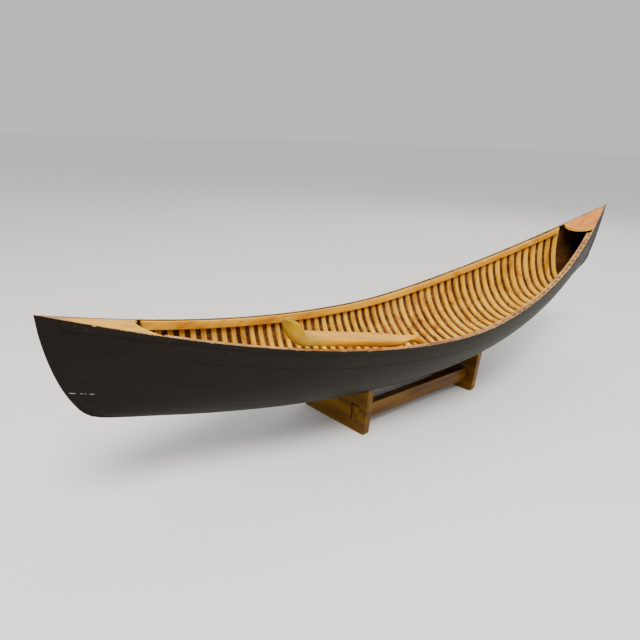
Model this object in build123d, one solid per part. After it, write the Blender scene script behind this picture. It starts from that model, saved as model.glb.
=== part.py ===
from build123d import *
import math
import os

# Display model of a ribbed canoe, lying on a two-board cradle, with a paddle laid in it.
# Millimetres.  The hull is drawn in its own symmetric frame: +X is the bow, +Y is port,
# z = 0 is the lowest point of the keel.  The cradle is drawn level, below the hull.

# ---- hull form
HALF_LENGTH = 500.0
HALF_BEAM = 94.8
BEAM_INNER_POWER = 1.95
BEAM_OUTER_POWER = 1.094
SHEER_MID_HEIGHT = 78.0
SHEER_RISE = 101.8
SHEER_POWER = 1.78
STEM_LENGTH = 46.0
STEM_HEIGHT = 107.8
STEM_POWER = 2.1
FOREFOOT_X = HALF_LENGTH - STEM_LENGTH
FOREFOOT_Z = SHEER_MID_HEIGHT + SHEER_RISE - STEM_HEIGHT
FOREFOOT_BLEND = 40.0
SECTION_POWER_MID = 1.88
SECTION_POWER_END = 2.02

# ---- planking
PLANK_THICKNESS = 1.6
PLANK_SEAM = 0.4
STRAKE_EDGES = [0.0, 0.17, 0.44, 0.755, 1.0]
PLANK_END_X = 482.0
KEEL_WIDTH = 3.0
KEEL_HEIGHT = 1.6
KEEL_END_HEIGHT = 7.0
KEEL_FLARE_START = 410.0
STEM_TIP_X = 499.6

# ---- ribs
RIB_PITCH = 15.25
RIB_WIDTH = 7.0
RIB_THICKNESS = 2.2
RIB_PAIRS = 26
FIT_GAP = 0.2

# ---- gunwales and decks
INWALE_THICKNESS = 4.2
INWALE_HEIGHT = 9.6
INWALE_BOW_END = 394.0
INWALE_STERN_END = -400.6
OUTWALE_THICKNESS = 1.1
OUTWALE_HEIGHT = 4.0
OUTWALE_END_HEIGHT = 10.0
OUTWALE_FLARE_START = 0.8
DECK_THICKNESS = 3.0
DECK_CROWN = 1.2
STERN_DECK_X = 401.0
STERN_DECK_HOLLOW = 13.0
BOW_DECK_X = 414.0
BOW_DECK_TONGUE = 15.0

# ---- cradle
HULL_PITCH = 2.22
CRADLE_DROP = 47.9
BOARD_THICKNESS = 9.6
BOARD_STARBOARD_Y = -45.2
BOARD_PORT_Y = 70.0
STERN_BOARD_X = -148.8
BOW_BOARD_X = 87.6
BOARD_BLANK_TOP = 18.0
BOARD_CORNER = 5.0
SADDLE_CLEARANCE = 0.35
RAIL_INSET = 13.2
RAIL_THICKNESS = 11.6
RAIL_HEIGHT = 21.0
RAIL_BOTTOM = -33.5
MORTISE_SIDE_PLAY = 1.8
MORTISE_TOP_PLAY = 2.0

# ---- paddle, laid along the starboard side with its blade on the gunwale
BLADE_THROAT = Vector(-100.0, -66.0, 85.2)
BLADE_BEND = Vector(-265.5, -51.0, 123.3)
BLADE_BEND_RADIUS = 14.0
BLADE_BEND_ANGLE = 1.1
BLADE_TIP_RUN = 8.5
BLADE_HALF_WIDTH = 16.8
BLADE_TOP_DEPTH = 1.2
BLADE_BELLY_DEPTH = 10.6
BLADE_TIP_DEPTH = 3.6
BLADE_EDGE = 1.2
BLADE_ROLL = 6.5
BLADE_SHOULDER = 42.0
BLADE_ROUND = 12.0
SHAFT_RADIUS = 4.0
SHAFT_TILT_GAP = 1.7
SHAFT_END = Vector(-12.0, -50.0, 35.0)
GRIP_LENGTH = 24.0
GRIP_HALF_WIDTH = 8.5
GRIP_HALF_THICKNESS = 5.2
GRIP_SHAPE = [(0.0, 0.0), (0.3, 0.1), (0.65, 0.8), (0.88, 1.0), (1.0, 0.7)]

# ---- sampling of the curves
STEM_HEIGHTS = [0.08, 0.35, 0.7, 1.0]
RIB_HEIGHTS = [0.06, 0.2, 0.42, 0.7, 0.985]
SADDLE_HEIGHTS = [0.04, 0.15, 0.35, 0.6, 0.9]
KEEL_CLEARANCE = 0.08
OUTWALE_CLEARANCE = 0.1
SADDLE_OVERRUN = 30.0


# ---- hull surface
def half_beam(x):
    """Half width of the hull at the gunwale."""
    u = min(abs(x) / HALF_LENGTH, 1.0)
    return HALF_BEAM * (1 - u ** BEAM_INNER_POWER) ** BEAM_OUTER_POWER


def sheer_z(x):
    """Height of the gunwale's top edge."""
    return SHEER_MID_HEIGHT + SHEER_RISE * (abs(x) / HALF_LENGTH) ** SHEER_POWER


def stem_z(x):
    """Height of the curved stem at x, beyond the forefoot."""
    inset = (HALF_LENGTH - abs(x)) / STEM_LENGTH
    drop = (1 - (1 - inset) ** STEM_POWER) ** (1 / STEM_POWER)
    return sheer_z(HALF_LENGTH) - STEM_HEIGHT * drop


def keel_z(x):
    """Height of the hull's centre line: a rockered keel that turns up into the stem."""
    keel = FOREFOOT_Z * (x / FOREFOOT_X) ** 2
    if abs(x) <= FOREFOOT_X:
        return keel
    stem = stem_z(x)
    ratio = min(keel, stem) / max(keel, stem)
    return max(keel, stem) * (1 + ratio ** FOREFOOT_BLEND) ** (1 / FOREFOOT_BLEND)


def section_power(x):
    """Fullness of the cross-section, from midship to the ends."""
    u = abs(x) / HALF_LENGTH
    return SECTION_POWER_MID + (SECTION_POWER_END - SECTION_POWER_MID) * u ** 2


def hull_point(x, v, depth, side=1):
    """Point at x, at fraction v from keel to gunwale, depth inside the outer surface."""
    power = section_power(x)
    beam = half_beam(x)
    height = sheer_z(x) - keel_z(x)
    narrow = min(max(depth, 0.0) / beam, 1.0)
    lift = depth + height * (1 - (1 - narrow ** power) ** (1 / power))
    width = (beam - depth) * (1 - (1 - v) ** power) ** (1 / power)
    return (x, side * width, keel_z(x) + lift + (height - lift) * v)


def spread(start, end, count):
    """Evenly spaced values from start to end."""
    return [start + (end - start) * i / (count - 1) for i in range(count)]


def hull_stations(start, end, count):
    """Stations along the hull, closer together towards each end of the boat."""
    first = math.asin(start / HALF_LENGTH)
    last = math.asin(end / HALF_LENGTH)
    return [HALF_LENGTH * math.sin(angle) for angle in spread(first, last, count)]


def shell_section(x, low, high, outer, inner, side=1):
    """Closed section at x between two fractions of the height and two depths."""
    outside = [hull_point(x, v, outer, side) for v in spread(low, high, 4)]
    inside = [hull_point(x, v, inner, side) for v in spread(high, low, 4)]
    edges = [
        Edge.make_spline(outside),
        Edge.make_line(outside[-1], inside[0]),
        Edge.make_spline(inside),
        Edge.make_line(inside[-1], outside[0]),
    ]
    return Wire(edges)


def shell_strip(stations, low, high, outer, inner, side=1):
    """Long strip of the hull; low and high are functions of x."""
    wires = [shell_section(x, low(x), high(x), outer, inner, side) for x in stations]
    return Solid.make_loft(wires)


# ---- canoe parts
def make_stem(end):
    """Solid stem block at the tip, which the planks end on."""
    wires = []
    for x in spread(PLANK_END_X + FIT_GAP, STEM_TIP_X, 5):
        ring = [hull_point(end * x, v, 0.0, -1) for v in reversed(STEM_HEIGHTS)]
        ring += [hull_point(end * x, v, 0.0, 1) for v in [0.0] + STEM_HEIGHTS]
        wires.append(Wire([Edge.make_spline(ring), Edge.make_line(ring[-1], ring[0])]))
    return Solid.make_loft(wires)


def keel_height(x):
    """The keel strip deepens where it turns up to the stems."""
    flare = max(abs(x) - KEEL_FLARE_START, 0.0) / (PLANK_END_X - KEEL_FLARE_START)
    return KEEL_HEIGHT + (KEEL_END_HEIGHT - KEEL_HEIGHT) * flare


def make_keel():
    """Narrow centre strip between the two lowest planks."""
    stations = hull_stations(-PLANK_END_X, PLANK_END_X, 31)
    low = [(x, 0, keel_z(x)) for x in stations]
    high = [(x, 0, keel_z(x) + keel_height(x)) for x in reversed(stations)]
    edges = [
        Edge.make_spline(low),
        Edge.make_line(low[-1], high[0]),
        Edge.make_spline(high),
        Edge.make_line(high[-1], low[0]),
    ]
    strip = Solid.extrude(Face(Wire(edges)), Vector(0, KEEL_WIDTH, 0))
    return strip.moved(Location((0, -KEEL_WIDTH / 2, 0)))


def garboard_low(x):
    """Fraction of the height at which the plank clears the keel strip."""
    room = (KEEL_WIDTH / 2 + KEEL_CLEARANCE) / (half_beam(x) - PLANK_THICKNESS)
    power = section_power(x)
    return 1 - (1 - room ** power) ** (1 / power)


def make_strake(index, side):
    """One plank, from stem to stem."""
    low = STRAKE_EDGES[index]
    high = STRAKE_EDGES[index + 1]

    def half_seam(x):
        return PLANK_SEAM / 2 / (sheer_z(x) - keel_z(x))

    def low_edge(x):
        return low + half_seam(x) if index > 0 else garboard_low(x)

    def high_edge(x):
        return high - half_seam(x) if high < 1.0 else high

    stations = hull_stations(-PLANK_END_X, PLANK_END_X, 19)
    return shell_strip(stations, low_edge, high_edge, 0.0, PLANK_THICKNESS, side)


def make_rib(x):
    """Bent rib that follows the inside of the planking from gunwale to gunwale."""
    depths = (PLANK_THICKNESS + FIT_GAP, PLANK_THICKNESS + FIT_GAP + RIB_THICKNESS)
    wires = []
    for station in (x - RIB_WIDTH / 2, x + RIB_WIDTH / 2):
        rings = []
        for depth in depths:
            starboard = [hull_point(station, v, depth, -1) for v in reversed(RIB_HEIGHTS)]
            port = [hull_point(station, v, depth, 1) for v in RIB_HEIGHTS]
            rings.append(starboard + [hull_point(station, 0.0, depth)] + port)
        inner = list(reversed(rings[1]))
        edges = [
            Edge.make_spline(rings[0]),
            Edge.make_line(rings[0][-1], inner[0]),
            Edge.make_spline(inner),
            Edge.make_line(inner[-1], rings[0][0]),
        ]
        wires.append(Wire(edges))
    return Solid.make_loft(wires, ruled=True)


def rail_low(height):
    """Lower edge of a gunwale strip of the given height, as a fraction."""

    def low(x):
        return 1 - height(x) / (sheer_z(x) - keel_z(x))

    return low


def make_inwale(side):
    """Inner gunwale, over the heads of the ribs."""
    outer = PLANK_THICKNESS + RIB_THICKNESS + 2 * FIT_GAP
    stations = hull_stations(INWALE_STERN_END, INWALE_BOW_END, 15)
    low = rail_low(lambda x: INWALE_HEIGHT)
    inner = outer + INWALE_THICKNESS
    return shell_strip(stations, low, lambda x: 1.0, outer, inner, side)


def outwale_height(x):
    """The rub strip deepens towards the stems."""
    flare = max(abs(x) / HALF_LENGTH - OUTWALE_FLARE_START, 0) / (1 - OUTWALE_FLARE_START)
    return OUTWALE_HEIGHT + (OUTWALE_END_HEIGHT - OUTWALE_HEIGHT) * flare


def make_outwale(side):
    """Thin outer rub strip along the sheer."""
    stations = hull_stations(-PLANK_END_X, PLANK_END_X, 19)
    low = rail_low(outwale_height)
    return shell_strip(stations, low, lambda x: 1.0, -OUTWALE_THICKNESS, -OUTWALE_CLEARANCE, side)


def deck_section(x):
    """Closed deck section with a crowned top."""
    rim = half_beam(x) - PLANK_THICKNESS - FIT_GAP
    top = sheer_z(x)
    low = hull_point(x, 1 - DECK_THICKNESS / (top - keel_z(x)), PLANK_THICKNESS + FIT_GAP)
    crown = DECK_CROWN * rim / half_beam(STERN_DECK_X)
    edges = [
        Edge.make_line((x, -low[1], low[2]), (x, low[1], low[2])),
        Edge.make_line((x, low[1], low[2]), (x, rim, top)),
        Edge.make_three_point_arc((x, rim, top), (x, 0, top + crown), (x, -rim, top)),
        Edge.make_line((x, -rim, top), (x, -low[1], low[2])),
    ]
    return Wire(edges)


def deck_blank(start, end):
    """Deck between two stations, before its inner edge is shaped."""
    return Solid.make_loft([deck_section(x) for x in hull_stations(start, end, 7)])


def edge_disc(corner_x, bulge, centre_side):
    """Upright cylinder whose arc passes through both deck corners."""
    half_chord = half_beam(corner_x)
    radius = (half_chord ** 2 + bulge ** 2) / (2 * bulge)
    centre_x = corner_x + centre_side * (radius - bulge)
    return Solid.make_cylinder(radius, 2 * SHEER_RISE, Plane((centre_x, 0, 0)))


def make_stern_deck():
    """Triangular deck with a hollowed inner edge."""
    blank = deck_blank(-STERN_DECK_X, -PLANK_END_X)
    return blank - edge_disc(-STERN_DECK_X, STERN_DECK_HOLLOW, 1)


def make_bow_deck():
    """Triangular deck whose inner edge is a rounded tongue."""
    blank = deck_blank(BOW_DECK_X - BOW_DECK_TONGUE, PLANK_END_X)
    sides = Solid.make_box(2 * BOW_DECK_TONGUE, 2 * HALF_BEAM, 2 * SHEER_RISE)
    sides = sides.moved(Location((BOW_DECK_X - 2 * BOW_DECK_TONGUE, -HALF_BEAM, 0)))
    return blank - (sides - edge_disc(BOW_DECK_X, BOW_DECK_TONGUE, 1))


# ---- cradle parts
def make_saddle():
    """Body of the hull over the cradle, grown by the saddle clearance."""
    wires = []
    for x in spread(STERN_BOARD_X - SADDLE_OVERRUN, BOW_BOARD_X + SADDLE_OVERRUN, 7):
        ring = [hull_point(x, v, -SADDLE_CLEARANCE, -1) for v in reversed(SADDLE_HEIGHTS)]
        ring += [hull_point(x, v, -SADDLE_CLEARANCE, 1) for v in [0.0] + SADDLE_HEIGHTS]
        lid = Edge.make_line(ring[-1], ring[0])
        wires.append(Wire([Edge.make_spline(ring), lid]))
    return Solid.make_loft(wires)


def rail_low_y(side, width):
    """Lower Y of a rail or slot whose outer face stands in from the board's end."""
    if side < 0:
        return BOARD_STARBOARD_Y + RAIL_INSET
    return BOARD_PORT_Y - RAIL_INSET - width


def make_rail(side):
    """Stretcher that passes through both boards."""
    length = BOW_BOARD_X + BOARD_THICKNESS - STERN_BOARD_X
    rail = Solid.make_box(length, RAIL_THICKNESS, RAIL_HEIGHT)
    low_y = rail_low_y(side, RAIL_THICKNESS)
    return rail.moved(Location((STERN_BOARD_X, low_y, RAIL_BOTTOM)))


def make_mortise(side):
    """Slot for a stretcher, with play on its inner side and on top."""
    length = BOW_BOARD_X + 3 * BOARD_THICKNESS - STERN_BOARD_X
    width = RAIL_THICKNESS + MORTISE_SIDE_PLAY
    slot = Solid.make_box(length, width, RAIL_HEIGHT + MORTISE_TOP_PLAY)
    low_y = rail_low_y(side, width)
    return slot.moved(Location((STERN_BOARD_X - BOARD_THICKNESS, low_y, RAIL_BOTTOM)))


def make_board(x, saddle):
    """End board with a hull-shaped top and rounded lower corners."""
    height = BOARD_BLANK_TOP + CRADLE_DROP
    board = Solid.make_box(BOARD_THICKNESS, BOARD_PORT_Y - BOARD_STARBOARD_Y, height)
    low_edges = board.edges().filter_by(Axis.X).sort_by(Axis.Z)[:2]
    board = board.fillet(BOARD_CORNER, low_edges)
    board = board.moved(Location((x, BOARD_STARBOARD_Y, -CRADLE_DROP)))
    board = board - saddle
    for side in (-1, 1):
        board = board - make_mortise(side)
    return board.solids().sort_by(SortBy.VOLUME)[-1]


# ---- paddle parts
def smooth(value):
    """0 to 1 with a soft start and end."""
    held = min(max(value, 0.0), 1.0)
    return held * held * (3 - 2 * held)


def blade_lengths():
    """Length of the straight part, and of the whole blade."""
    straight = (BLADE_BEND - BLADE_THROAT).length
    return straight, straight + BLADE_BEND_RADIUS * BLADE_BEND_ANGLE + BLADE_TIP_RUN


def blade_frame(distance):
    """Plane across the blade; distance runs from the throat to the tip."""
    run = BLADE_BEND - BLADE_THROAT
    straight = blade_lengths()[0]
    level = Vector(run.X, run.Y, 0).normalized()
    rise = math.atan2(run.Z, math.hypot(run.X, run.Y))
    past = max(distance - straight, 0.0)
    turn = min(past / BLADE_BEND_RADIUS, BLADE_BEND_ANGLE)
    beyond = past - turn * BLADE_BEND_RADIUS
    angle = rise + turn
    centre = BLADE_THROAT + run * (min(distance, straight) / straight)
    ahead = BLADE_BEND_RADIUS * (math.sin(angle) - math.sin(rise)) + beyond * math.cos(angle)
    up = BLADE_BEND_RADIUS * (math.cos(rise) - math.cos(angle)) + beyond * math.sin(angle)
    centre = centre + level * ahead + Vector(0, 0, up)
    normal = level * math.cos(angle) + Vector(0, 0, math.sin(angle))
    plane = Plane(origin=centre, x_dir=(level.Y, -level.X, 0), z_dir=normal)
    return plane.rotated((0, 0, BLADE_ROLL * min(distance / straight, 1.0)))


def blade_half_width(distance):
    """Blade outline: shoulders at the throat, rounded corners at the tip."""
    width = SHAFT_RADIUS + (BLADE_HALF_WIDTH - SHAFT_RADIUS) * smooth(distance / BLADE_SHOULDER)
    left = blade_lengths()[1] - distance
    if left < BLADE_ROUND:
        width -= BLADE_ROUND * (1 - math.sqrt(1 - (1 - left / BLADE_ROUND) ** 2))
    return width


def blade_depths(distance):
    """Height of the top face and depth of the belly, from the blade's rim."""
    straight, total = blade_lengths()
    start = smooth(distance / BLADE_SHOULDER)
    end = smooth((distance - straight) / (total - straight))
    top = SHAFT_RADIUS + (BLADE_TOP_DEPTH - SHAFT_RADIUS) * start
    belly = SHAFT_RADIUS + (BLADE_BELLY_DEPTH - SHAFT_RADIUS) * start
    return top, belly + (BLADE_TIP_DEPTH - belly) * end


def lens_wire(plane, half_width, top, belly, half_edge):
    """Closed lens section with narrow flat edges; the plane's y points down."""
    corners = [
        plane.from_local_coords(Vector(-half_width, -half_edge, 0)),
        plane.from_local_coords(Vector(0, -top, 0)),
        plane.from_local_coords(Vector(half_width, -half_edge, 0)),
        plane.from_local_coords(Vector(half_width, half_edge, 0)),
        plane.from_local_coords(Vector(0, belly, 0)),
        plane.from_local_coords(Vector(-half_width, half_edge, 0)),
    ]
    edges = [
        Edge.make_three_point_arc(corners[0], corners[1], corners[2]),
        Edge.make_line(corners[2], corners[3]),
        Edge.make_three_point_arc(corners[3], corners[4], corners[5]),
        Edge.make_line(corners[5], corners[0]),
    ]
    return Wire(edges)


def make_blade():
    """Full-bellied blade, turned up at the tip."""
    total = blade_lengths()[1]
    stations = spread(0.0, total - BLADE_ROUND, 17)
    stations += [total - BLADE_ROUND * (1 - math.sin(a)) for a in spread(0.3, 1.35, 5)]
    wires = []
    for distance in stations:
        top, belly = blade_depths(distance)
        wires.append(
            lens_wire(blade_frame(distance), blade_half_width(distance), top, belly, BLADE_EDGE / 2)
        )
    return Solid.make_loft(wires)


def shaft_plane(distance):
    """Plane across the shaft, distance beyond the blade's throat."""
    back = (SHAFT_END - BLADE_THROAT).normalized()
    clear = BLADE_THROAT + back * (SHAFT_TILT_GAP + distance)
    return Plane(origin=clear, x_dir=(0, 1, 0), z_dir=back)


def shaft_length():
    """Length of the shaft between the blade and the grip."""
    return (SHAFT_END - BLADE_THROAT).length - SHAFT_RADIUS


def make_shaft():
    """Round shaft, set at an angle to the blade."""
    return Solid.make_cylinder(SHAFT_RADIUS, shaft_length(), shaft_plane(0.0))


def make_grip():
    """Pear-shaped grip at the end of the shaft."""
    wires = []
    for fraction, fullness in GRIP_SHAPE:
        plane = shaft_plane(shaft_length() + FIT_GAP + fraction * GRIP_LENGTH)
        half_width = SHAFT_RADIUS * 1.01 + (GRIP_HALF_WIDTH - SHAFT_RADIUS) * fullness
        half_thickness = SHAFT_RADIUS + (GRIP_HALF_THICKNESS - SHAFT_RADIUS) * fullness
        wires.append(Wire([Edge.make_ellipse(half_width, half_thickness, plane)]))
    return Solid.make_loft(wires)


# ---- assembly
def build_canoe():
    """Every canoe part, in the hull frame."""
    parts = {"stem_bow": make_stem(1), "stem_stern": make_stem(-1), "keel": make_keel()}
    for side, name in ((1, "port"), (-1, "starboard")):
        for index in range(len(STRAKE_EDGES) - 1):
            parts[f"strake_{name}_{index + 1}"] = make_strake(index, side)
        parts[f"inwale_{name}"] = make_inwale(side)
        parts[f"outwale_{name}"] = make_outwale(side)
    parts["rib_00"] = make_rib(0.0)
    for pair in range(1, RIB_PAIRS + 1):
        ribs = [make_rib(pair * RIB_PITCH), make_rib(-pair * RIB_PITCH)]
        parts[f"rib_{pair:02d}"] = Compound(children=ribs)
    parts["deck_bow"] = make_bow_deck()
    parts["deck_stern"] = make_stern_deck()
    return parts


def build_paddle():
    """Paddle parts, in the hull frame."""
    return {
        "paddle_blade": make_blade(),
        "paddle_shaft": make_shaft(),
        "paddle_grip": make_grip(),
    }


def build_cradle(pitched):
    """Cradle parts, level."""
    saddle = make_saddle().moved(pitched)
    return {
        "cradle_board_stern": make_board(STERN_BOARD_X, saddle),
        "cradle_board_bow": make_board(BOW_BOARD_X, saddle),
        "cradle_rail_port": make_rail(1),
        "cradle_rail_starboard": make_rail(-1),
    }


def main():
    pitched = Location((0, 0, 0), (0, -HULL_PITCH, 0))
    parts = build_cradle(pitched)
    for name, shape in {**build_canoe(), **build_paddle()}.items():
        parts[name] = shape.moved(pitched)
    box = Compound(children=[part.moved(Location()) for part in parts.values()]).bounding_box()
    middle = (box.min + box.max) * 0.5
    rest = Location((-middle.X, -middle.Y, -box.min.Z))
    os.makedirs("parts", exist_ok=True)
    for name, shape in parts.items():
        export_step(shape.moved(rest), f"parts/{name}.step")
    print("parts", len(parts), "size", box.size, "moved by", rest.position)


main()
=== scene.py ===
# %% [markdown]
# # A ribbed canoe on its cradle
# The canoe is a shelf model about a metre long: dark painted planking over bent ribs,
# golden gunwales, a deck at each end and a paddle laid in it, on a varnished cradle.
# The measured model is loaded first. Everything below works around it, in metres,
# with +X towards the bow and +Z up.

# %% Load the measured model
import bpy
import bmesh
import math
from mathutils import Matrix, Vector


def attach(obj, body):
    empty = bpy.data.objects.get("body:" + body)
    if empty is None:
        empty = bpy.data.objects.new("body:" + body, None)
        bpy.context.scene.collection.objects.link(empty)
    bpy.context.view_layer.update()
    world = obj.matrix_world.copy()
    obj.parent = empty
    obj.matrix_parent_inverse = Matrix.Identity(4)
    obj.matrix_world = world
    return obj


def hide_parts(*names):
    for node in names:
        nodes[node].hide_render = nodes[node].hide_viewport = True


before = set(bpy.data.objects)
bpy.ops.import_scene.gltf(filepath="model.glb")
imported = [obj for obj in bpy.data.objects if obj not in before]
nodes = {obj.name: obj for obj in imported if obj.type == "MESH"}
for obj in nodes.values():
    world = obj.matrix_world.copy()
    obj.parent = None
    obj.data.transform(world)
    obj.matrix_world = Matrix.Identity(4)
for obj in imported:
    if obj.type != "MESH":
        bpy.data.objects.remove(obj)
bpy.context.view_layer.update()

# %% [markdown]
# ## The hull as numbers
# Paint wears along the top edge, and planks have an inside and an outside. Both
# follow the hull, so the hull's own curves are kept here: how far a point lies along
# the boat, and how far below the gunwale's top edge. The hull is pitched up at the bow,
# so positions are first turned back to the level boat.

# %% Hull curves
PITCH = math.radians(2.22)
HULL_ORIGIN = (0.00665, 0.0479)
HALF_LENGTH = 0.5
SHEER_MID = 0.078
SHEER_RISE = 0.1018
SHEER_POWER = 1.78
HALF_BEAM = 0.0948


def along_hull(x, z):
    """Distance along the level boat from midship."""
    return (x - HULL_ORIGIN[0]) * math.cos(PITCH) + (z - HULL_ORIGIN[1]) * math.sin(PITCH)


def up_hull(x, z):
    """Height above the lowest point of the keel, across the level boat."""
    return (z - HULL_ORIGIN[1]) * math.cos(PITCH) - (x - HULL_ORIGIN[0]) * math.sin(PITCH)


def sheer_at(along):
    """Height of the gunwale's top edge; works on numbers."""
    return SHEER_MID + SHEER_RISE * (abs(along) / HALF_LENGTH) ** SHEER_POWER


def row_point(along, across, up):
    """A point of the level boat, in the shared frame."""
    x = HULL_ORIGIN[0] + along * math.cos(PITCH) - up * math.sin(PITCH)
    z = HULL_ORIGIN[1] + along * math.sin(PITCH) + up * math.cos(PITCH)
    return Vector((x, across, z))


print("bow tip of the sheer", row_point(HALF_LENGTH, 0.0, sheer_at(HALF_LENGTH)))

# %% [markdown]
# ## Writing a material as sums
# A procedural material is a network of small nodes. Wiring each by hand is long and
# hard to read, so a small class wraps a node's output and lets ordinary Python
# arithmetic add the Math nodes. One method, `add`, makes every other kind of node.

# %% Shader helpers
SPECULAR = 0.22
COAT_ROUGHNESS = 0.25
BUMP_STRENGTH = 0.6


class Value:
    """The output of a shader node, used in sums."""

    def __init__(self, finish, socket):
        self.finish = finish
        self.socket = socket

    def math(self, operation, *others):
        inputs = dict(enumerate((self,) + others))
        return self.finish.add("ShaderNodeMath", {"operation": operation}, inputs)

    def __add__(self, other):
        return self.math("ADD", other)

    def __radd__(self, other):
        return self.math("ADD", other)

    def __sub__(self, other):
        return self.math("SUBTRACT", other)

    def __rsub__(self, other):
        return (self * -1.0).math("ADD", other)

    def __mul__(self, other):
        return self.math("MULTIPLY", other)

    def __rmul__(self, other):
        return self.math("MULTIPLY", other)

    def __truediv__(self, other):
        return self.math("DIVIDE", other)

    def __pow__(self, other):
        return self.math("POWER", other)

    def __abs__(self):
        return self.math("ABSOLUTE")

    def rise(self, start, end):
        """0 before start, 1 after end, smooth between; start may be above end."""
        settings = {"interpolation_type": "SMOOTHSTEP"}
        inputs = {"Value": self, "From Min": start, "From Max": end}
        return self.finish.add("ShaderNodeMapRange", settings, inputs)


class Finish:
    """A principled material that is built up from Values."""

    def __init__(self, name, roughness=0.5, coat=0.0):
        self.material = bpy.data.materials.new(name)
        self.material.use_nodes = True
        self.tree = self.material.node_tree
        self.shader = self.tree.nodes["Principled BSDF"]
        self.shader.inputs["Roughness"].default_value = roughness
        self.shader.inputs["Coat Weight"].default_value = coat
        self.shader.inputs["Coat Roughness"].default_value = COAT_ROUGHNESS
        self.shader.inputs["Specular IOR Level"].default_value = SPECULAR
        place = self.add("ShaderNodeTexCoord", out="Object")
        self.place = place
        self.x = self.add("ShaderNodeSeparateXYZ", {}, {0: place}, out="X")
        self.y = self.add("ShaderNodeSeparateXYZ", {}, {0: place}, out="Y")
        self.z = self.add("ShaderNodeSeparateXYZ", {}, {0: place}, out="Z")

    def add(self, kind, settings=None, inputs=None, out=0):
        """Adds one node: its settings first, then its inputs' values or links."""
        node = self.tree.nodes.new(kind)
        for key, value in (settings or {}).items():
            if key == "stops":
                self.set_stops(node.color_ramp, value)
            else:
                setattr(node, key, value)
        for key, value in (inputs or {}).items():
            if isinstance(value, Value):
                self.tree.links.new(value.socket, node.inputs[key])
            else:
                node.inputs[key].default_value = value
        return Value(self, node.outputs[out])

    def set_stops(self, ramp, stops):
        """Gives a colour ramp its stops, as (position, colour)."""
        while len(ramp.elements) < len(stops):
            ramp.elements.new(1.0)
        for element, (position, colour) in zip(ramp.elements, stops):
            element.position = position
            element.color = (*colour, 1.0)

    def ramp(self, factor, stops):
        """A colour from a value."""
        return self.add("ShaderNodeValToRGB", {"stops": stops}, {"Fac": factor}, out="Color")

    def stretch(self, scales, shift=(0.0, 0.0, 0.0)):
        """Object coordinates scaled along each axis, so that a pattern is drawn out."""
        settings = {"vector_type": "POINT"}
        inputs = {"Vector": self.place, "Scale": scales, "Location": shift}
        return self.add("ShaderNodeMapping", settings, inputs)

    def noise(self, scales, detail=3.0, roughness=0.55, distortion=0.0, shift=(0, 0, 0)):
        """Noise on stretched coordinates, about 0 to 1."""
        vector = self.stretch(scales, shift)
        inputs = {
            "Vector": vector,
            "Scale": 1.0,
            "Detail": detail,
            "Roughness": roughness,
            "Distortion": distortion,
        }
        return self.add("ShaderNodeTexNoise", {"noise_dimensions": "3D"}, inputs)

    def mix(self, factor, first, second):
        """Colour mixed from first to second as the factor goes from 0 to 1."""
        settings = {"data_type": "RGBA", "blend_type": "MIX"}
        inputs = {0: factor, 6: solid(first), 7: solid(second)}
        return self.add("ShaderNodeMix", settings, inputs, out=2)

    def shade(self, colour, factor):
        """A colour made darker or lighter by a value near 1."""
        grey = self.add("ShaderNodeCombineXYZ", {}, {0: factor, 1: factor, 2: factor})
        settings = {"data_type": "RGBA", "blend_type": "MULTIPLY"}
        return self.add("ShaderNodeMix", settings, {0: 1.0, 6: solid(colour), 7: grey}, out=2)

    def along(self):
        """Distance along the level boat, as a Value."""
        level = (self.x - HULL_ORIGIN[0]) * math.cos(PITCH)
        return level + (self.z - HULL_ORIGIN[1]) * math.sin(PITCH)

    def below_sheer(self):
        """Distance below the gunwale's top edge, as a Value."""
        up = (self.z - HULL_ORIGIN[1]) * math.cos(PITCH)
        up = up - (self.x - HULL_ORIGIN[0]) * math.sin(PITCH)
        rise = (abs(self.along()) / HALF_LENGTH) ** SHEER_POWER
        return rise * SHEER_RISE + SHEER_MID - up

    def finish(self, colour, roughness=None, bump=None, bump_height=0.0004):
        """Links what changes over the surface to the shader."""
        self.link(colour, "Base Color")
        if roughness is not None:
            self.link(roughness, "Roughness")
        if bump is not None:
            inputs = {"Height": bump, "Strength": BUMP_STRENGTH, "Distance": bump_height}
            self.link(self.add("ShaderNodeBump", {}, inputs), "Normal")
        return self.material

    def link(self, value, name):
        self.tree.links.new(value.socket, self.shader.inputs[name])


def solid(colour):
    """Three numbers as a colour with alpha; a Value stays as it is."""
    return (*colour, 1.0) if isinstance(colour, tuple) else colour


print("shader helpers ready")

# %% [markdown]
# ## Varnished wood
# Wood reads as wood through long soft streaks along the grain, a finer grain inside
# them and small dark pores. All three are noise, drawn out along one axis. The same
# recipe gives every wooden piece its own colours, and the axis follows how each piece
# was cut.

# %% Wood recipe
WOOD_GLINT = (1.0, 0.75, 0.4, 1.0)
PORE_DARKENING = 0.35


def grain_scales(axis, long, fine):
    """Scales that draw noise out along one axis."""
    return tuple(long if i == axis else fine for i in range(3))


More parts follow.
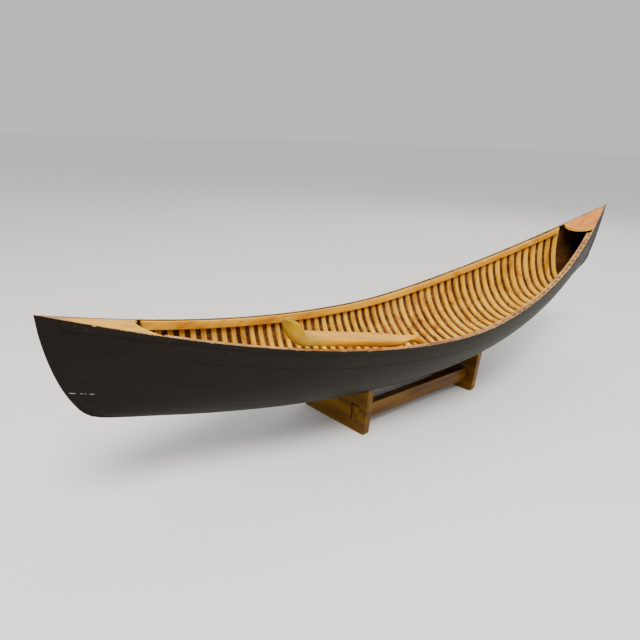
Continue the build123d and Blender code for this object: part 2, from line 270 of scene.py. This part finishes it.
def wood(name, light, middle, dark, axis=0, roughness=0.45, coat=0.15, pores=0.5, seed=0.0):
    """Material with streaks, fine grain and pores along an axis."""
    made = Finish(name, roughness, coat)
    made.shader.inputs["Specular Tint"].default_value = WOOD_GLINT
    shift = (seed, seed * 0.7, seed * 1.3)
    streaks = made.noise(grain_scales(axis, 9.0, 90.0), 3.0, 0.5, 0.6, shift)
    fine = made.noise(grain_scales(axis, 45.0, 900.0), 4.0, 0.65, 0.2, shift)
    broad = made.noise((14.0, 14.0, 14.0), 3.0, 0.5, 0.0, shift)
    tone = (streaks * 0.55 + fine * 0.25 + broad * 0.2).rise(0.32, 0.68)
    colour = made.ramp(tone, [(0.0, dark), (0.5, middle), (1.0, light)])
    pore = made.noise(grain_scales(axis, 160.0, 2200.0), 2.0, 0.6, 0.0, shift).rise(0.62, 0.75)
    colour = made.shade(colour, 1.0 - pore * (PORE_DARKENING * pores))
    made.colour = colour
    made.rough = fine * 0.2 + (roughness - 0.1)
    made.height = fine * 0.5 + streaks * 0.3 - pore * 0.4
    return made


def plain_wood(name, light, middle, dark, **settings):
    """The wood recipe with nothing added."""
    made = wood(name, light, middle, dark, **settings)
    return made.finish(made.colour, made.rough, made.height, 0.0003)


print("wood recipe ready")

# %% [markdown]
# ## Dark hull paint
# The hull is painted dark over its planks: brown-black towards the stern, nearly black
# at the bow, with a lighter grey-green stretch amidships that is painted sheen. Long faint
# streaks follow the planks, small scuffs are scattered over it, and along the top edge the
# paint has chipped down to the wood. A ramp along the boat gives the change of colour and
# the painted sheen, so that it needs no image.

# %% Hull paint
# Paint colour along the boat; the lighter grey-green stops amidships are painted sheen.
PAINT_AND_SHEEN_STOPS = [
    (0.0, (0.0080, 0.0052, 0.0036)),
    (0.20, (0.0100, 0.0075, 0.0056)),
    (0.40, (0.0165, 0.0150, 0.0112)),
    (0.58, (0.0260, 0.0262, 0.0190)),
    (0.78, (0.0200, 0.0200, 0.0150)),
    (1.0, (0.0035, 0.0026, 0.0022)),
]
BARE_WOOD = (0.46, 0.29, 0.17)
SCUFF = (0.14, 0.12, 0.10)
SCRATCH_COLOUR = (0.26, 0.23, 0.20)
SCRATCH_PLACE = 0.476
SCRATCH_HALF = 0.011
SCRATCH_DEPTH = 0.0665
SCRATCH_SLOPE = -0.08
SCRATCH_EDGES = (0.0006, 0.0002)
PAINT_SPECULAR = 0.10


def scratch(made, along, below):
    """A pale broken line low on the hull near the stern."""
    centre = SCRATCH_DEPTH + (along + SCRATCH_PLACE) * SCRATCH_SLOPE
    line = abs(below - centre).rise(*SCRATCH_EDGES)
    length = abs(along + SCRATCH_PLACE).rise(SCRATCH_HALF, SCRATCH_HALF * 0.8)
    broken = made.noise((260.0, 20.0, 20.0), 2.0, 0.5).rise(0.40, 0.52)
    return line * length * broken


def hull_paint():
    made = Finish("hull_paint", 0.5)
    made.shader.inputs["Specular IOR Level"].default_value = PAINT_SPECULAR
    along = made.along()
    below = made.below_sheer()
    mottle = made.noise((9.0, 20.0, 30.0), 4.0, 0.6)
    streaks = made.noise((3.0, 55.0, 130.0), 4.0, 0.6, 0.3)
    fine = made.noise((60.0, 300.0, 420.0), 3.0, 0.6)
    place = along + HALF_LENGTH + (mottle - 0.5) * 0.16
    # painted sheen: the ramp lightens the dark paint to grey-green amidships
    colour = made.ramp(place, PAINT_AND_SHEEN_STOPS)
    colour = made.shade(colour, streaks * 0.9 + fine * 0.4 + 0.35)
    ragged = made.noise((150.0, 150.0, 260.0), 4.0, 0.7)
    stern = (along * -1.0).rise(0.30, 0.46)
    chips = (below + (ragged - 0.5) * 0.0075).rise(-0.0004, -0.0010)
    specks = made.noise((260.0, 260.0, 320.0), 2.0, 0.5).rise(0.76, 0.80)
    worn_end = ragged.rise(0.62, 0.70) * stern * below.rise(0.013, 0.003)
    scuffs = (specks * 0.5).math("MAXIMUM", worn_end)
    colour = made.mix(scuffs * 0.5, colour, SCUFF)
    colour = made.mix(chips, colour, made.shade(BARE_WOOD, fine * 0.8 + 0.5))
    colour = made.mix(scratch(made, along, below), colour, SCRATCH_COLOUR)
    rough = streaks * 0.22 + fine * 0.12 + chips * 0.2 + 0.36
    height = streaks * 0.5 + fine * 0.2 - chips * 0.7
    return made.finish(colour, rough, height, 0.0003)


paint = hull_paint()
print("made", paint.name)

# %% [markdown]
# ## Stained planks between the ribs
# Inside, the planks are bare and old: ochre wood under brown and plum-coloured stains,
# darker towards the ends: painted shade where the light doesn't reach, and dirt that
# collects there. It is the wood recipe with two more layers of blotches mixed in.

# %% Planking inside
INSIDE_TONES = ((0.26, 0.12, 0.035), (0.12, 0.045, 0.014), (0.035, 0.011, 0.005))
OCHRE = (0.26, 0.12, 0.02)
BROWN_STAIN = (0.045, 0.014, 0.008)
PLUM_STAIN = (0.075, 0.022, 0.018)
END_SHADE_AND_DIRT = (0.040, 0.018, 0.004)
GUNWALE_SHADOW = (0.010, 0.003, 0.002)


def inside_wood():
    made = wood("planking_inside", *INSIDE_TONES, pores=1.0)
    blotch = made.noise((70.0, 95.0, 95.0), 5.0, 0.7).rise(0.44, 0.60)
    plum = made.noise((150.0, 150.0, 150.0), 4.0, 0.65, 0.0, (3.0, 1.0, 2.0))
    plum = plum.rise(0.50, 0.64)
    ochre = made.noise((26.0, 40.0, 40.0), 3.0, 0.6, 0.0, (1.0, 5.0, 2.0)).rise(0.52, 0.70)
    colour = made.mix(ochre * 0.6, made.colour, OCHRE)
    colour = made.mix(blotch * 0.6, colour, BROWN_STAIN)
    colour = made.mix(plum * 0.5, colour, PLUM_STAIN)
    # painted shade and dirt: the planks darken towards the ends, under the decks
    ends = abs(made.along()).rise(0.36, 0.45)
    colour = made.mix(ends * 0.85, colour, END_SHADE_AND_DIRT)
    gap = made.below_sheer().rise(0.013, 0.008)
    colour = made.mix(gap * 0.9, colour, GUNWALE_SHADOW)
    return made.finish(colour, made.rough + 0.1, made.height, 0.0004)


inside = inside_wood()
print("made", inside.name)

# %% [markdown]
# ## Ribs
# The ribs are pale bent wood. Their grain is drawn out upwards, along the steep part of
# each rib. Patches of it have aged, and painted shade darkens the stretch just below the
# gunwale.

# %% Rib wood
RIB_TONES = ((1.0, 0.62, 0.075), (0.88, 0.46, 0.030), (0.40, 0.12, 0.005))
RIB_AGED = (0.52, 0.27, 0.09)
RIB_GUNWALE_SHADE = (0.44, 0.24, 0.08)


def rib_wood():
    made = wood("rib_wood", *RIB_TONES, axis=2, coat=0.0)
    age = made.noise((40.0, 30.0, 30.0), 4.0, 0.6).rise(0.50, 0.72)
    colour = made.mix(age * 0.45, made.colour, RIB_AGED)
    # painted shade: the ribs darken just below the gunwale, as if in its shadow
    top = made.below_sheer().rise(0.026, 0.010)
    colour = made.mix(top * 0.35, colour, RIB_GUNWALE_SHADE)
    return made.finish(colour, made.rough, made.height, 0.0003)


ribs = rib_wood()
print("made", ribs.name)

# %% [markdown]
# ## Gunwales
# The port inner gunwale shows its golden varnished face. The starboard one is worn on
# top, where hands and the paddle rub: pale and slightly pink, with darker nicks. So the
# two get different finishes.

# %% Gunwale woods
GOLD_TONES = ((0.90, 0.50, 0.045), (0.80, 0.39, 0.022), (0.50, 0.17, 0.006))
WORN_TONES = ((0.68, 0.36, 0.10), (0.48, 0.21, 0.05), (0.14, 0.04, 0.012))
RUBBED = (0.62, 0.36, 0.20)
NICKED = (0.11, 0.040, 0.018)
gold = plain_wood("gunwale_gold", *GOLD_TONES, coat=0.0)


def worn_wood():
    made = wood("gunwale_worn", *WORN_TONES, roughness=0.6)
    rub = made.noise((60.0, 180.0, 180.0), 4.0, 0.65).rise(0.45, 0.62)
    nick = made.noise((110.0, 200.0, 200.0), 3.0, 0.6, 0.0, (4.0, 2.0, 1.0)).rise(0.52, 0.60)
    colour = made.mix(rub * 0.5, made.colour, RUBBED)
    colour = made.mix(nick * 0.65, colour, NICKED)
    return made.finish(colour, made.rough + 0.1, made.height, 0.0005)


worn = worn_wood()
print("made", gold.name, worn.name)

# %% [markdown]
# ## Decks
# The bow deck is orange, the stern deck a pale cream, as two boards from different
# trees would be. A lighter rim follows each curved inner edge, where the varnish has
# been rubbed off: it is drawn by the distance from the centre of that arc. The bow
# deck's edge is a rounded tongue and the stern deck's is a hollow. Both tips are dirty.

# %% Deck woods
RIM_WIDTH = 0.0022
BOW_ARC = (0.4284, 0.0294)
STERN_ARC = (-0.3756, 0.0384)
RIM_REACH = (0.418, 0.414)
TIP_REACH = (0.470, 0.481)
TIP_DIRT = (0.25, 0.17, 0.11)
BOW_TONES = ((0.84, 0.33, 0.006), (0.72, 0.23, 0.003), (0.46, 0.10, 0.001))
BOW_RIM = (0.86, 0.46, 0.05)
STERN_TONES = ((0.90, 0.53, 0.07), (0.80, 0.41, 0.035), (0.56, 0.23, 0.012))
STERN_RIM = (0.92, 0.58, 0.10)


def deck_wood(name, arc, light, middle, dark, rim):
    made = wood(name, light, middle, dark, coat=0.0)
    end = math.copysign(1.0, arc[0])
    dx = made.along() - arc[0]
    distance = (dx * dx + made.y * made.y) ** 0.5
    edge = abs(distance - arc[1]).rise(RIM_WIDTH, RIM_WIDTH * 0.4)
    edge = edge * (made.along() * end).rise(*RIM_REACH)
    flame = made.noise((30.0, 60.0, 60.0), 3.0, 0.6, 0.8).rise(0.48, 0.66)
    colour = made.mix(flame * 0.35, made.colour, dark)
    colour = made.mix(edge * 0.8, colour, rim)
    tip = (made.along() * end).rise(*TIP_REACH)
    colour = made.mix(tip * 0.5, colour, TIP_DIRT)
    return made.finish(colour, made.rough, made.height, 0.0003)


deck_bow = deck_wood("deck_bow_orange", BOW_ARC, *BOW_TONES, BOW_RIM)
deck_stern = deck_wood("deck_stern_cream", STERN_ARC, *STERN_TONES, STERN_RIM)
print("made", deck_bow.name, deck_stern.name)

# %% [markdown]
# ## Paddle
# Blade, shaft and grip are the same golden wood, with the grain along the blade. The
# tip is painted darker and greener, as shade on the underside of its curled end, and pale
# patches lie over it.

# %% Paddle wood
PADDLE_TONES = ((0.88, 0.46, 0.004), (0.78, 0.35, 0.002), (0.50, 0.17, 0.001))
BLADE_TIP_X = (-0.240, -0.262)
PADDLE_TIP_SHADE = (0.30, 0.19, 0.006)
PALE_PATCH = (0.62, 0.36, 0.07)


def paddle_wood():
    made = wood("paddle_wood", *PADDLE_TONES, coat=0.04)
    # painted shade: the curled tip is darkened and turned green
    tip = made.x.rise(*BLADE_TIP_X)
    colour = made.mix(tip * 0.75, made.colour, PADDLE_TIP_SHADE)
    pale = made.noise((16.0, 40.0, 40.0), 3.0, 0.5).rise(0.45, 0.62)
    colour = made.mix(pale * 0.3, colour, PALE_PATCH)
    return made.finish(colour, made.rough, made.height, 0.0003)


paddle = paddle_wood()
print("made", paddle.name)

# %% [markdown]
# ## Cradle
# The cradle is brown varnished wood. Its boards have their grain across the boat, its
# rails along it.

# %% Cradle woods
CRADLE_TONES = ((0.20, 0.092, 0.0015), (0.115, 0.046, 0.0008), (0.034, 0.011, 0.0003))
CRADLE_VARNISH = {"coat": 0.06, "roughness": 0.4}
cradle_board = plain_wood("cradle_board_wood", *CRADLE_TONES, axis=1, seed=2.0, **CRADLE_VARNISH)
cradle_rail = plain_wood("cradle_rail_wood", *CRADLE_TONES, axis=0, seed=5.0, **CRADLE_VARNISH)
print("made", cradle_board.name, cradle_rail.name)

# %% [markdown]
# ## Finishes on the measured pieces
# A plank is painted outside and bare inside. Its faces are told apart by whether they
# point away from the middle of the boat, and its top edge is bare worn wood. Giving
# faces a second material leaves the shape alone.

# %% Give each piece its finish
TOP_EDGE = 0.0012
FACING_UP = 0.6
FACING_IN = -0.35


def face_kind(face):
    """0 for paint, 1 for the inside, 2 for the bare top edge."""
    centre = face.center
    along = along_hull(centre.x, centre.z)
    sheer = sheer_at(along)
    up = up_hull(centre.x, centre.z)
    if sheer - up < TOP_EDGE and face.normal.z > FACING_UP:
        return 2
    outwards = Vector((0.0, centre.y, up - sheer)).normalized()
    return 1 if face.normal.dot(outwards) < FACING_IN else 0


def dress(name, *materials):
    """Replaces a piece's materials."""
    mesh = nodes[name].data
    mesh.materials.clear()
    for material in materials:
        mesh.materials.append(material)


painted = 0
for name in nodes:
    if name.startswith("strake") or name.startswith("stem"):
        dress(name, paint, inside, worn)
        for face in nodes[name].data.polygons:
            face.material_index = face_kind(face)
            painted += face.material_index == 0
    elif name.startswith("outwale") or name == "keel":
        dress(name, paint)
    elif name.startswith("rib"):
        dress(name, ribs)
dress("inwale_port", gold)
dress("inwale_starboard", worn)
dress("deck_bow", deck_bow)
dress("deck_stern", deck_stern)
for name in ("paddle_blade", "paddle_shaft", "paddle_grip"):
    dress(name, paddle)
for side in ("port", "starboard"):
    dress(f"cradle_rail_{side}", cradle_rail)
for end in ("bow", "stern"):
    dress(f"cradle_board_{end}", cradle_board)
print("painted faces", painted)

# %% [markdown]
# ## Softened edges
# Sawn wood never keeps a knife edge. The cradle's boards and rails and the two inner
# gunwales are copied, their loose triangles joined, and their edges rounded up to a
# millimetre by a bevel, so that they catch the light. The copy then stands in for the
# measured piece.

# %% Round the edges of the woodwork
WELD = 0.000002
FLAT = math.radians(0.5)
SHARP = math.radians(35)
CRADLE_ROUNDING = 0.0008
GUNWALE_ROUNDING = 0.0004


def soften(name, body, width):
    """Replaces a measured piece by a copy with rounded edges."""
    mesh = nodes[name].data.copy()
    mesh.name = f"{name}_soft"
    shape = bmesh.new()
    shape.from_mesh(mesh)
    bmesh.ops.remove_doubles(shape, verts=shape.verts[:], dist=WELD)
    bmesh.ops.dissolve_limit(
        shape, angle_limit=FLAT, verts=shape.verts[:], edges=shape.edges[:]
    )
    shape.to_mesh(mesh)
    shape.free()
    piece = bpy.data.objects.new(f"{name}_soft", mesh)
    bpy.context.scene.collection.objects.link(piece)
    bevel = piece.modifiers.new("round", "BEVEL")
    bevel.width = width
    bevel.segments = 2
    bevel.limit_method = "ANGLE"
    bevel.angle_limit = SHARP
    bevel.use_clamp_overlap = True
    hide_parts(name)
    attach(piece, body)


for end in ("bow", "stern"):
    soften(f"cradle_board_{end}", "cradle", CRADLE_ROUNDING)
for side in ("port", "starboard"):
    soften(f"cradle_rail_{side}", "cradle", CRADLE_ROUNDING)
for side in ("port", "starboard"):
    soften(f"inwale_{side}", "canoe", GUNWALE_ROUNDING)

# %% [markdown]
# ## Putty in the seams
# The planks stand a hair apart, and light would show through. Each seam gets a thin
# strip of putty, sunk just under the paint and pushed a little into both planks. A
# wider bed lies under the keel, and rises at its ends, and a plug closes the joint
# between the planks and each stem. All are swept along the same curves that shaped the
# hull, one short ring at a time.

# %% Seam putty
BEAM_POWERS = (1.95, 1.094)
KEEL_RISE = 0.07199
KEEL_END = 0.454
SECTION_POWERS = (1.88, 2.02)
STEM = (0.046, 0.1078, 2.1)
SEAM_DEPTHS = ((0.17, 0.00006), (0.44, 0.00006), (0.755, 0.0003))
PUTTY_INSIDE = 0.00125
PUTTY_HALF = 0.0009
PUTTY_END = 0.4815
PUTTY_RINGS = 90
PLUG_ENDS = (0.4812, 0.4832)
BED_BOTTOM = (0.0004, 0.0004, 0.0022, 0.0008)
BED_TOP = (0.0015, 0.0140, 0.0022, 0.0017)
BED_RISE = (0.430, 0.475)
PLUG_SHARES = (0.0, 0.04, 0.15, 0.4, 0.7, 0.97)
PLUG_DEPTH = 0.0002


def keel_at(along):
    """Height of the hull's centre line, which turns up into the stem."""
    keel = KEEL_RISE * (along / KEEL_END) ** 2
    inset = (HALF_LENGTH - abs(along)) / STEM[0]
    if inset >= 1:
        return keel
    drop = (1 - (1 - inset) ** STEM[2]) ** (1 / STEM[2])
    return max(keel, sheer_at(HALF_LENGTH) - STEM[1] * drop)


def hull_surface(along, share, depth, side):
    """Point at a share of the way from keel to gunwale, some depth under the paint."""
    u = abs(along) / HALF_LENGTH
    beam = HALF_BEAM * (1 - u ** BEAM_POWERS[0]) ** BEAM_POWERS[1]
    keel = keel_at(along)
    height = sheer_at(along) - keel
    power = SECTION_POWERS[0] + (SECTION_POWERS[1] - SECTION_POWERS[0]) * u ** 2
    lift = depth + height * (1 - (1 - (depth / beam) ** power) ** (1 / power))
    width = (beam - depth) * (1 - (1 - share) ** power) ** (1 / power)
    return row_point(along, side * width, keel + lift + (height - lift) * share)


def join_rings(shape, rings):
    """Closed skin over a row of rings of points."""
    rows = [[shape.verts.new(point) for point in ring] for ring in rings]
    count = len(rows[0])
    for first, second in zip(rows, rows[1:]):
        for i in range(count):
            j = (i + 1) % count
            shape.faces.new((first[i], first[j], second[j], second[i]))
    shape.faces.new(rows[0])
    shape.faces.new(reversed(rows[-1]))


def putty_stations():
    return [-PUTTY_END + 2 * PUTTY_END * i / PUTTY_RINGS for i in range(PUTTY_RINGS + 1)]


def putty_strip(shape, share, depth, side):
    """Adds one closed strip along a seam."""
    rings = []
    for along in putty_stations():
        half = PUTTY_HALF / (sheer_at(along) - keel_at(along))
        low, high = share - half, share + half
        corners = [(low, depth), (high, depth), (high, PUTTY_INSIDE), (low, PUTTY_INSIDE)]
        rings.append([hull_surface(along, s, d, side) for s, d in corners])
    join_rings(shape, rings)


def keel_bed(shape):
    """Adds the strip under the keel, across both of its seams."""
    rings = []
    for along in putty_stations():
        rise = (abs(along) - BED_RISE[0]) / (BED_RISE[1] - BED_RISE[0])
        rise = min(max(rise, 0.0), 1.0)
        low, high, wide_low, wide_high = (
            start + (end - start) * rise
            for start, end in (BED_BOTTOM[:2], BED_TOP[:2], BED_BOTTOM[2:], BED_TOP[2:])
        )
        keel = keel_at(along)
        corners = [(-wide_low, low), (wide_low, low), (wide_high, high), (-wide_high, high)]
        rings.append([row_point(along, y, keel + z) for y, z in corners])
    join_rings(shape, rings)


def stem_plug(shape, end):
    """Adds the block that closes the joint between the planks and a stem."""
    rings = []
    for along in PLUG_ENDS:
        here = end * along
        port = [hull_surface(here, s, PLUG_DEPTH, 1) for s in PLUG_SHARES]
        starboard = [hull_surface(here, s, PLUG_DEPTH, -1) for s in reversed(PLUG_SHARES[1:])]
        rings.append(port + starboard)
    join_rings(shape, rings)


putty_mesh = bpy.data.meshes.new("seam_putty")
shape = bmesh.new()
for side in (-1, 1):
    for share, depth in SEAM_DEPTHS:
        putty_strip(shape, share, depth, side)
    stem_plug(shape, side)
keel_bed(shape)
bmesh.ops.recalc_face_normals(shape, faces=shape.faces[:])
shape.to_mesh(putty_mesh)
shape.free()
putty = bpy.data.objects.new("seam_putty", putty_mesh)
bpy.context.scene.collection.objects.link(putty)
putty_mesh.materials.append(paint)
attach(putty, "canoe")
print("putty faces", len(putty_mesh.polygons))

# %% [markdown]
# ## Floor
# A wide pale floor gives a plain studio and takes the model's shadow.

# %% Floor
FLOOR_SIZE = 60.0
FLOOR_COLOUR = (0.92, 0.92, 0.92, 1.0)
floor_mesh = bpy.data.meshes.new("floor")
shape = bmesh.new()
bmesh.ops.create_grid(shape, x_segments=1, y_segments=1, size=FLOOR_SIZE / 2)
shape.to_mesh(floor_mesh)
shape.free()
floor = bpy.data.objects.new("floor", floor_mesh)
bpy.context.scene.collection.objects.link(floor)
floor_finish = Finish("floor_pale", 0.9)
floor_finish.shader.inputs["Base Color"].default_value = FLOOR_COLOUR
floor_mesh.materials.append(floor_finish.material)
print("floor", floor.dimensions)

# %% [markdown]
# ## Light
# A white sky lights everything evenly. One large warm light stands high on the
# camera's side and gives the soft shadow, and a weaker one fills from the other side.

# %% Light
SKY_COLOUR = (1.0, 1.0, 1.0, 1.0)
SKY_STRENGTH = 0.7
LAMP_COLOUR = (1.0, 0.95, 0.86)
LAMP_AIM = (0.0, 0.0, 0.1)
world = bpy.data.worlds.new("studio")
world.use_nodes = True
sky = world.node_tree.nodes["Background"]
sky.inputs["Color"].default_value = SKY_COLOUR
sky.inputs["Strength"].default_value = SKY_STRENGTH
bpy.context.scene.world = world


def soft_light(name, place, aim, size, power):
    """A square area light that faces a point."""
    light = bpy.data.lights.new(name, "AREA")
    light.size = size
    light.energy = power
    light.color = LAMP_COLOUR
    lamp = bpy.data.objects.new(name, light)
    lamp.location = place
    lamp.rotation_euler = (Vector(aim) - Vector(place)).to_track_quat("-Z", "Y").to_euler()
    bpy.context.scene.collection.objects.link(lamp)
    return lamp


key = soft_light("key", (-0.9, -0.9, 1.9), LAMP_AIM, size=1.0, power=62.0)
fill = soft_light("fill", (1.8, 0.6, 1.6), LAMP_AIM, size=1.5, power=14.0)
print("lights", key.name, fill.name)

# %% [markdown]
# ## Camera
# The camera looks down on the stern from the starboard side, close enough for the far
# end to shrink. Its lens is shifted sideways and up, which moves the model in the
# frame and leaves the perspective alone.

# %% Camera
LENS = 29.96
SENSOR_WIDTH = 36.0
LENS_SHIFT = (0.0682, 0.1512)
CAMERA_PLACE = Vector((-0.60502, -0.43351, 0.33811))
CAMERA_FORWARD = Vector((0.55961, 0.68409, -0.46782))
CAMERA_ROLL = math.radians(1.94)
camera_data = bpy.data.cameras.new("camera")
camera_data.lens = LENS
camera_data.sensor_width = SENSOR_WIDTH
camera_data.shift_x, camera_data.shift_y = LENS_SHIFT
camera_data.clip_start = 0.01
camera = bpy.data.objects.new("camera", camera_data)
turn = CAMERA_FORWARD.to_track_quat("-Z", "Y").to_matrix() @ Matrix.Rotation(CAMERA_ROLL, 3, "Z")
camera.matrix_world = Matrix.Translation(CAMERA_PLACE) @ turn.to_4x4()
bpy.context.scene.collection.objects.link(camera)
bpy.context.scene.camera = camera
print("camera at", camera.location)
